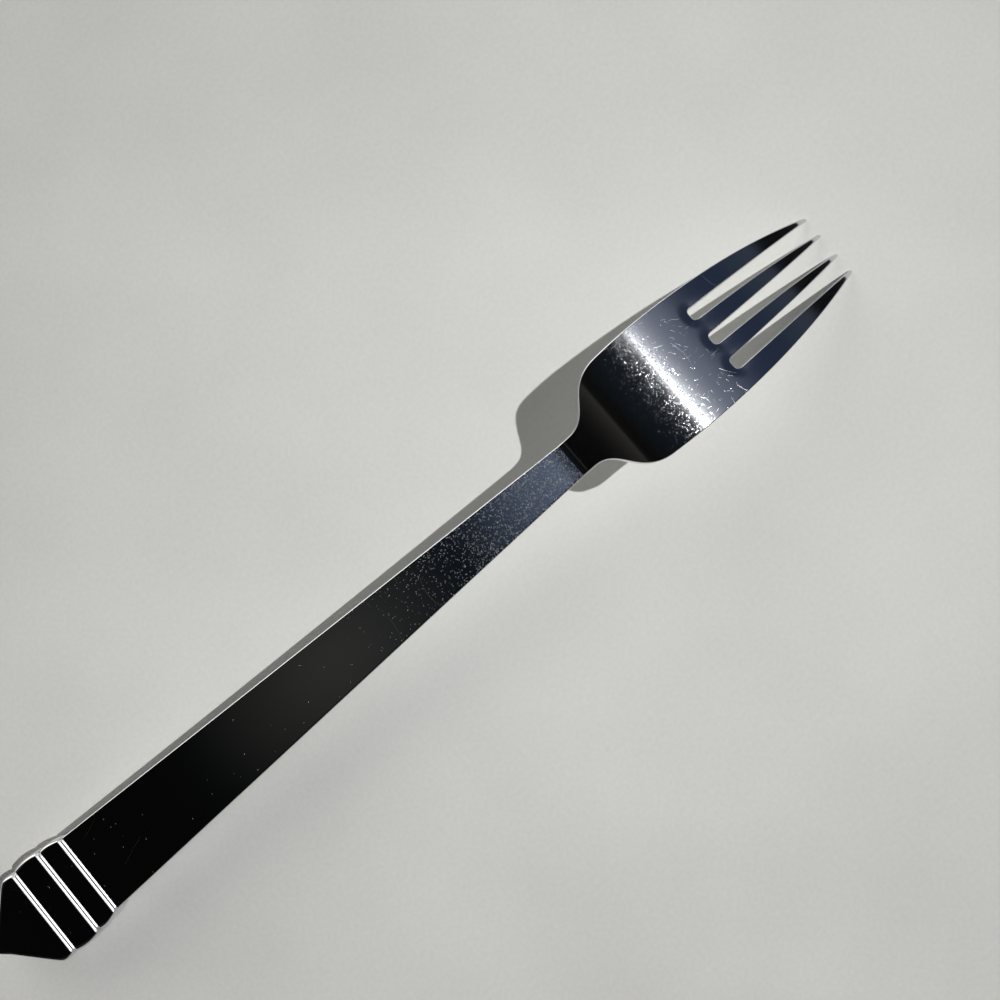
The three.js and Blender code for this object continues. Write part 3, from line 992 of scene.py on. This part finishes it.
run_tree(head, press_tree(), {
    "Mouth thickness": HANDLE_MOUTH_THICKNESS,
    "Crest thickness": CREST_THICKNESS,
    "Tip thickness": TIP_THICKNESS,
    "Nose length": NOSE_LENGTH,
    "Nose drop": TIP_THICKNESS - NOSE_THICKNESS,
    "Finish": head_steel,
})
print("pressed head reaches", round(max(v.co.z for v in head.data.vertices) / MM, 2), "mm")

# %% [markdown]
# ## Measures along the handle
# What lies in the handle follows its taper, so its width, its thickness and its middle are needed at every
# place. Slim pieces are lofts: rings of the same count of points, one for each place along the piece, joined
# by faces.

# %% Taper and lofts
def along_handle(x):
    """0 at the handle's rear end, 1 at its mouth."""
    return (x - handle_x) / (mouth_x - handle_x)


def thickness_at(x):
    return HANDLE_REAR_THICKNESS + (HANDLE_MOUTH_THICKNESS - HANDLE_REAR_THICKNESS) * along_handle(x)


def width_at(x):
    return HANDLE_REAR_WIDTH + (HANDLE_MOUTH_WIDTH - HANDLE_REAR_WIDTH) * along_handle(x)


def middle_at(x):
    return handle_back(x) - thickness_at(x) / 2


def loft(name, rings, closed=False):
    """Faces between rings of points; the ends are capped, or the last ring joins the first."""
    count = len(rings[0])
    points = [point for ring in rings for point in ring]
    faces = []
    for ring in range(len(rings) if closed else len(rings) - 1):
        a, b = ring * count, (ring + 1) % len(rings) * count
        for index in range(count):
            after = (index + 1) % count
            faces.append((a + index, a + after, b + after, b + index))
    if not closed:
        faces.append(list(range(count)))
        faces.append(list(range(len(points) - count, len(points))))
    return new_piece(name, points, faces)


print("handle is", round(thickness_at(handle_x) / MM, 2), "mm thick at its rear end")

# %% [markdown]
# ## Head: the tang
# Behind the neck the head goes on as a tang, a slim bar inside the handle. It doesn't show, but without it
# the head would only stand against the handle. A Boolean modifier joins the bar to the neck.

# %% Tang
TANG_LENGTH = 75 * MM
TANG_END_WIDTH, TANG_END_THICKNESS = 4 * MM, 1 * MM
SHELL_WALL, FIT_GAP = 0.8 * MM, 0.25 * MM
TANG_STATIONS = 12


def tang_ring(x):
    back_along = (mouth_x - x) / TANG_LENGTH
    mouth_half = HANDLE_MOUTH_WIDTH / 2 - SHELL_WALL - FIT_GAP
    mouth_rise = HANDLE_MOUTH_THICKNESS / 2 - SHELL_WALL - FIT_GAP
    half = mouth_half + (TANG_END_WIDTH / 2 - mouth_half) * back_along
    rise = mouth_rise + (TANG_END_THICKNESS / 2 - mouth_rise) * back_along
    corners = ((half, -rise), (half, rise), (-half, rise), (-half, -rise))
    return [(x, y, middle_at(x) + z) for y, z in corners]


tang_xs = np.linspace(mouth_x - TANG_LENGTH, head_x + NECK_LENGTH / 2, TANG_STATIONS)
tang = loft("tang", [tang_ring(x) for x in tang_xs])
joined = head.modifiers.new("weld", "BOOLEAN")
joined.operation = "UNION"
joined.object = tang
welded = bpy.data.meshes.new_from_object(head.evaluated_get(bpy.context.evaluated_depsgraph_get()))
head.modifiers.remove(joined)
head.data = welded
bpy.data.objects.remove(tang)
finish_piece(head, head_steel)

# %% [markdown]
# ## Handle: two pressed halves
# The handle is a slim, tapering box bent along its length, pressed in two halves that meet at its sides.
# The section of a half is a short list of points, outside first and then the inside in the opposite order,
# so that every point outside has a partner inside.

# %% Section of a half
HANDLE_ROUNDING, INNER_ROUNDING = 0.28 * MM, 0.1 * MM
CORNER_STEPS = 5
FLAT_SUPPORT = 0.08 * MM


def half_section(half, rise, rounding):
    """One wall of the half section, from one rim over the top to the other rim."""
    right_side = [(half, HAIRLINE / 2), (half, rise - rounding - FLAT_SUPPORT)]
    for step in range(CORNER_STEPS + 1):
        angle = math.pi / 2 * step / CORNER_STEPS
        y = half - rounding * (1 - math.cos(angle))
        right_side.append((y, rise - rounding * (1 - math.sin(angle))))
    right_side.append((half - rounding - FLAT_SUPPORT, rise))
    return right_side + [(-y, z) for y, z in reversed(right_side)]


section_half, section_rise = HANDLE_MOUTH_WIDTH / 2, HANDLE_MOUTH_THICKNESS / 2
outer_wall = half_section(section_half, section_rise, HANDLE_ROUNDING)
inner_wall = half_section(section_half - SHELL_WALL, section_rise - SHELL_WALL, INNER_ROUNDING)
section = [(0.0, y, z) for y, z in outer_wall + inner_wall[::-1]]
print("section of a handle half:", len(section), "points")

# %% [markdown]
# Every joint at the handle's end lies in a groove with two narrow facets. Both face the tines at about 33
# degrees, a slope that throws the sun into the camera, so each groove shows two bright lines. The groove's
# shape is a list of depths at distances from the joint, behind it and in front of it, in millimetres.

# %% Grooves
GROOVE_BEHIND = ((0.0, 0.20), (0.16, 0.20), (0.43, 0.022), (0.5, 0.0))
GROOVE_AHEAD = ((0.0, 0.20), (0.16, 0.20), (0.48, 0.411), (0.54, 0.411), (0.62, 0.05), (0.72, 0.0))


def groove(distance, shape):
    """Depth of a groove this far from its joint."""
    depth = shape[0][1] * MM
    for (near, before), (far, after) in zip(shape, shape[1:]):
        depth = share(distance, near * MM, far * MM) * ((after - before) * MM) + depth
    return depth


print("grooves are", max(depth for _, depth in GROOVE_AHEAD), "mm deep")

# %% [markdown]
# A node tree repeats the section along the handle. Scaling the section with the taper would be simpler, but
# the wall and the rounding would change their size with it. The tree shifts the sides instead. At the two
# ends the outside and the inside meet, which closes the wall. The stations crowd towards the rear end, where
# the groove needs them.

# %% Taper tree
HANDLE_STATIONS = 220
REAR_CROWDING = 0.94
CLOSING_REACH = 1e-6


def section_point(tree, points, index):
    """Where a point of the section lies across and upwards."""
    sample = tree.nodes.new("GeometryNodeSampleIndex")
    sample.data_type = "FLOAT_VECTOR"
    tree.links.new(points, sample.inputs["Geometry"])
    tree.links.new(tree.nodes.new("GeometryNodeInputPosition").outputs[0], sample.inputs["Value"])
    plug(tree, index, sample.inputs["Index"])
    return parts_of(tree, sample.outputs[0])[1:]


def taper_tree():
    labels = ("Rear width", "Mouth width", "Rear thickness", "Mouth thickness", "Groove size", "Side")
    tree, points, size, result = new_tree("taper_half", labels)
    around = len(section)
    grid = tree.nodes.new("GeometryNodeMeshGrid")
    grid.inputs["Vertices X"].default_value = HANDLE_STATIONS
    grid.inputs["Vertices Y"].default_value = around + 1
    index = Num(tree, tree.nodes.new("GeometryNodeInputIndex").outputs[0])
    row = (index / (around + 1)).math("FLOOR")
    column = (index - row * (around + 1)).math("MODULO", around)

    own = section_point(tree, points, column)
    partner = section_point(tree, points, around - 1 - column)
    is_outer = column.math("LESS_THAN", around / 2 - 0.5)
    step = row.share(1, HANDLE_STATIONS - 2)
    along = step * (1 - REAR_CROWDING) + step * step * REAR_CROWDING
    length = mouth_x - handle_x - 2 * HAIRLINE
    x = along * length + (handle_x + HAIRLINE)
    cut = groove(x - handle_x, GROOVE_AHEAD) * size["Groove size"]
    half = (size["Rear width"] + (size["Mouth width"] - size["Rear width"]) * along) / 2
    thick = size["Rear thickness"] + (size["Mouth thickness"] - size["Rear thickness"]) * along

    def placed(point, depth):
        y, z = point
        side = y.math("SIGN")
        lifted = z.math("GREATER_THAN", HAIRLINE)
        wide = y + side * (half - section_half - depth)
        high = z + lifted * (thick / 2 - section_rise - depth)
        return wide, handle_back(x) - thick / 2 + size["Side"] * high

    own_place = placed(own, cut * is_outer)
    partner_place = placed(partner, cut * (1 - is_outer))
    is_end = (row.math("LESS_THAN", 0.5) + row.math("GREATER_THAN", HANDLE_STATIONS - 1.5)) * 0.5
    y, z = (mine + (other - mine) * is_end for mine, other in zip(own_place, partner_place))
    merge = tree.nodes.new("GeometryNodeMergeByDistance")
    merge.inputs["Distance"].default_value = CLOSING_REACH
    tree.links.new(place_points(tree, grid.outputs["Mesh"], x, y, z), merge.inputs["Geometry"])
    tree.links.new(merge.outputs[0], result)
    return tree


taper = taper_tree()
print("taper tree:", len(taper.nodes), "nodes")

# %% [markdown]
# One tree makes both halves, because one of its inputs turns the second half over. Each half starts as the
# bare points of the section, which the tree reads.

# %% Two halves of the handle
halves = []
for name, side in (("handle_back_shell", 1.0), ("handle_front_shell", -1.0)):
    shell = new_piece(name, section, [])
    run_tree(shell, taper, {
        "Rear width": HANDLE_REAR_WIDTH,
        "Mouth width": HANDLE_MOUTH_WIDTH,
        "Rear thickness": HANDLE_REAR_THICKNESS,
        "Mouth thickness": HANDLE_MOUTH_THICKNESS,
        "Groove size": 1.0,
        "Side": side,
        "Finish": handle_steel,
    })
    finish_piece(shell, handle_steel)
    halves.append(shell)

# %% [markdown]
# ## Lamps for the handle alone
# The handle mirrors a warm patch at its middle and a bluish one near the neck. The head would mirror them
# as well, as stripes across its crest. Light linking keeps both lamps off the head, as flags do in a studio,
# and a small spread works like a grid before a softbox: the light fades within a few degrees.

# %% Lamps linked to the handle
LAMP_HEIGHT = 0.5
LAMP_ASIDE = 0.045
# Name, lean towards the tines and reach in degrees, place along the fork, size, colour and power
HANDLE_LAMPS = (
    ("warm_softbox", -21.5, 6.8, -0.220, 0.40, (1.0, 0.95, 0.78), 0.00010),
    ("blue_softbox", -4.0, 9.4, -0.065, 0.20, (0.51, 0.67, 1.0), 0.00049),
)

lit_handle = bpy.data.collections.new("lit_handle")
for shell in halves:
    lit_handle.objects.link(shell)


def handle_lamp(name, lean, reach, place_x, size, colour, power):
    """A softbox above the handle, which no camera sees."""
    lamp_data = bpy.data.lights.new(name, "AREA")
    lamp_data.size = size
    lamp_data.spread = math.radians(2 * reach)
    lamp_data.color = colour
    lamp_data.energy = power
    lamp = bpy.data.objects.new(name, lamp_data)
    lamp.location = (place_x, LAMP_ASIDE * LAMP_HEIGHT, LAMP_HEIGHT)
    way = Vector((math.tan(math.radians(lean)), LAMP_ASIDE, 1.0))
    lamp.rotation_euler = way.to_track_quat("Z", "Y").to_euler()
    lamp.visible_camera = False
    lamp.light_linking.receiver_collection = lit_handle
    scene.collection.objects.link(lamp)


for lamp_sizes in HANDLE_LAMPS:
    handle_lamp(*lamp_sizes)
print("lamps linked to the handle:", len(HANDLE_LAMPS))

# %% [markdown]
# ## Bands and end cap
# Two bands and the cap finish the handle. They rest on the table, with well rounded edges and a groove at
# every joint. Seen from above, the ring is a barrel and the collar swings out from the handle like half of
# one, which gives the fork's end its scalloped outline. Each piece is a loft, and its rings have rounded
# corners and slightly swelling sides. The cap's spigot and the hole for it are rings of the same kind.

# %% Rings of the bands
SPIGOT_REACH, SPIGOT_ROUNDING = 12 * MM, 0.3 * MM
BULGE_STEPS = 8

spigot_end_x = handle_x + SPIGOT_REACH
spigot_half = width_at(spigot_end_x) / 2 - SHELL_WALL - FIT_GAP
spigot_rise = thickness_at(spigot_end_x) / 2 - SHELL_WALL - FIT_GAP


def band_ring(x, half, low, high, rounding, bulge):
    """A ring with rounded corners and swelling sides, from the bottom up one side and down the other."""
    def side_y(z):
        off_middle = (2 * z - low - high) / (high - low)
        return half - bulge * off_middle * off_middle

    one_side = [(half - bulge - rounding - FLAT_SUPPORT, low)]
    for step in range(CORNER_STEPS + 1):
        angle = math.pi / 2 * step / CORNER_STEPS
        z = low + rounding * (1 - math.cos(angle))
        one_side.append((side_y(low + rounding) - rounding * (1 - math.sin(angle)), z))
    for step in range(1, BULGE_STEPS):
        z = low + rounding + (high - low - 2 * rounding) * step / BULGE_STEPS
        one_side.append((side_y(z), z))
    for step in range(CORNER_STEPS + 1):
        angle = math.pi / 2 * step / CORNER_STEPS
        z = high - rounding * (1 - math.sin(angle))
        one_side.append((side_y(high - rounding) - rounding * (1 - math.cos(angle)), z))
    one_side.append((half - bulge - rounding - FLAT_SUPPORT, high))
    ring = one_side + [(-y, z) for y, z in reversed(one_side)]
    return [(x, y, z) for y, z in ring]


def spigot_ring(x, clearance):
    rise, half = spigot_rise + clearance, spigot_half + clearance
    middle = middle_at(x)
    return band_ring(x, half, middle - rise, middle + rise, SPIGOT_ROUNDING, 0.0)


print("spigot is", round(2 * spigot_half / MM, 2), "mm wide")

# %% [markdown]
# The bands are hollow, so their rings run forward on the outside and back through the hole. The rings crowd
# at the grooves, where every corner of a groove needs one.

# %% Two hollow bands
RING_WIDTH, COLLAR_WIDTH = 20.9 * MM, 20.4 * MM
SIDE_BULGE, BAND_STEP, BAND_ROUNDING = 0.15 * MM, 0.9 * MM, 0.9 * MM
BARREL = 0.5 * MM
PLAIN_STEPS = 12


def band_places(start, stop):
    """Places along a band: every corner of the grooves at its ends, and even steps between."""
    rear = [start + HAIRLINE] + [start + distance * MM for distance, _ in GROOVE_AHEAD[1:]]
    front = [stop - distance * MM for distance, _ in reversed(GROOVE_BEHIND[1:])] + [stop - HAIRLINE]
    return [*rear, *np.linspace(rear[-1], front[0], PLAIN_STEPS)[1:-1], *front]


def hollow_band(name, start, stop, size_at):
    rings = []
    for x in band_places(start, stop):
        cut = groove(x - start, GROOVE_AHEAD) + groove(stop - x, GROOVE_BEHIND)
        half, low, rounding, bulge = size_at(x)
        rings.append(band_ring(x, half - cut, low + cut, handle_back(x) - cut, rounding, bulge))
    hole_ends = (stop - HAIRLINE, start + HAIRLINE)
    rings += [spigot_ring(x, FIT_GAP) for x in hole_ends]
    return loft(name, rings, closed=True)


def ring_size(x):
    """Half width, underside, rounding and bulge; the ring is a barrel, widest at its middle."""
    off_middle = (2 * x - ring_x - collar_x) / (collar_x - ring_x)
    return RING_WIDTH / 2 - BARREL * off_middle**2, 0.0, BAND_ROUNDING, SIDE_BULGE


def collar_size(x):
    """The same four sizes, swinging out from the handle's section to the bands' own."""
    rear = (handle_x - x) / (handle_x - collar_x)
    flare = math.sin(math.pi / 2 * rear)
    thin = (HANDLE_REAR_WIDTH / 2, BAND_STEP, HANDLE_ROUNDING, 0.0)
    wide = (COLLAR_WIDTH / 2 - BARREL * rear**3, 0.0, BAND_ROUNDING, SIDE_BULGE)
    return [a + (b - a) * flare for a, b in zip(thin, wide)]


ring_band = hollow_band("ring_band", ring_x, collar_x, ring_size)
collar_band = hollow_band("collar_band", collar_x, handle_x, collar_size)
finish_piece(ring_band, band_steel)
finish_piece(collar_band, band_steel)

# %% [markdown]
# The cap is a gable seen from above. Its half width grows from a blunt point to the full width and is eased
# into it, and its spigot goes on through the bands into the handle, which is how the end is held.

# %% End cap
CAP_WIDTH, CAP_BARREL_LENGTH = 20.5 * MM, 3 * MM
GABLE_ANGLE = math.radians(45.6)
POINT_RADIUS = 0.8 * MM
SHOULDER_ROUNDING = 2.0 * MM
GABLE_STATIONS, SPIGOT_STATIONS = 48, 6
FIRST_STATION, POINT_CROWDING = 0.02, 1.5
SLIM_SHARE = 1 / 3


def gable_half(x):
    """Half width of the cap: an arc at the point, a straight edge, and an eased shoulder."""
    run = x - end_x
    turn_run = POINT_RADIUS * (1 - math.sin(GABLE_ANGLE))
    if run < turn_run:
        return math.sqrt(run * (2 * POINT_RADIUS - run))
    straight = POINT_RADIUS * math.cos(GABLE_ANGLE) + (run - turn_run) * math.tan(GABLE_ANGLE)
    full = CAP_WIDTH / 2
    short = full - straight
    return full - (short + math.sqrt(short * short + (SHOULDER_ROUNDING / 4) ** 2)) / 2


def cap_rings():
    front = [ring_x - distance * MM for distance, _ in reversed(GROOVE_BEHIND[1:])] + [ring_x - HAIRLINE]
    steps = np.linspace(FIRST_STATION, 1, GABLE_STATIONS)
    places = [end_x + (front[0] - end_x) * step**POINT_CROWDING for step in steps] + front[1:]
    rings = []
    for x in places:
        cut = groove(ring_x - x, GROOVE_BEHIND)
        narrowed = BARREL * share(x, ring_x - CAP_BARREL_LENGTH, ring_x) ** 2
        half = gable_half(x) - narrowed - cut
        bulge = min(SIDE_BULGE, half * SLIM_SHARE)
        rounding = min(BAND_ROUNDING, half * SLIM_SHARE)
        rings.append(band_ring(x, half, cut, handle_back(x) - cut, rounding, bulge))
    rings += [spigot_ring(x, 0.0) for x in np.linspace(front[-1], spigot_end_x, SPIGOT_STATIONS)]
    return rings


gabled_cap = loft("gabled_cap", cap_rings())
finish_piece(gabled_cap, band_steel)

# %% [markdown]
# ## Filling
# The handle's filling is cast resin. It is sealed in, so its solid stays as it is and only gets a dull,
# slightly mottled finish.

# %% Resin of the filling
RESIN_DARK, RESIN_PALE = (0.50, 0.45, 0.33), (0.70, 0.65, 0.52)
RESIN_MOTTLE = 700
RESIN_LEAST_ROUGH, RESIN_ROUGH_SWING = 0.65, 0.2


def resin():
    finish, tree, surface, place = new_finish("cast_resin")
    mottle = noise(tree, place, (RESIN_MOTTLE,) * 3, 4.0)
    tree.links.new(two_tones(tree, mottle, RESIN_DARK, RESIN_PALE), surface.inputs["Base Color"])
    plug(tree, mottle * RESIN_ROUGH_SWING + RESIN_LEAST_ROUGH, surface.inputs["Roughness"])
    return finish


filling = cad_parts["handle_filling"]
filling.data.materials.clear()
filling.data.materials.append(resin())
print("filling finished:", filling.name)

# %% [markdown]
# ## Pieces on the body
# Every polished piece stands for its solid, which is hidden, and rides on the fork's only body.

# %% Pieces and nodes
back_shell, front_shell = halves
for piece, node, slot in (
    (head, "fork_head", "head_steel"),
    (back_shell, "handle_back_half", "handle_steel"),
    (front_shell, "handle_front_half", "handle_steel"),
    (collar_band, "flared_collar", "band_steel"),
    (ring_band, "end_ring", "band_steel"),
    (gabled_cap, "end_cap", "band_steel"),
):
    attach(piece, "root")
    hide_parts(node)
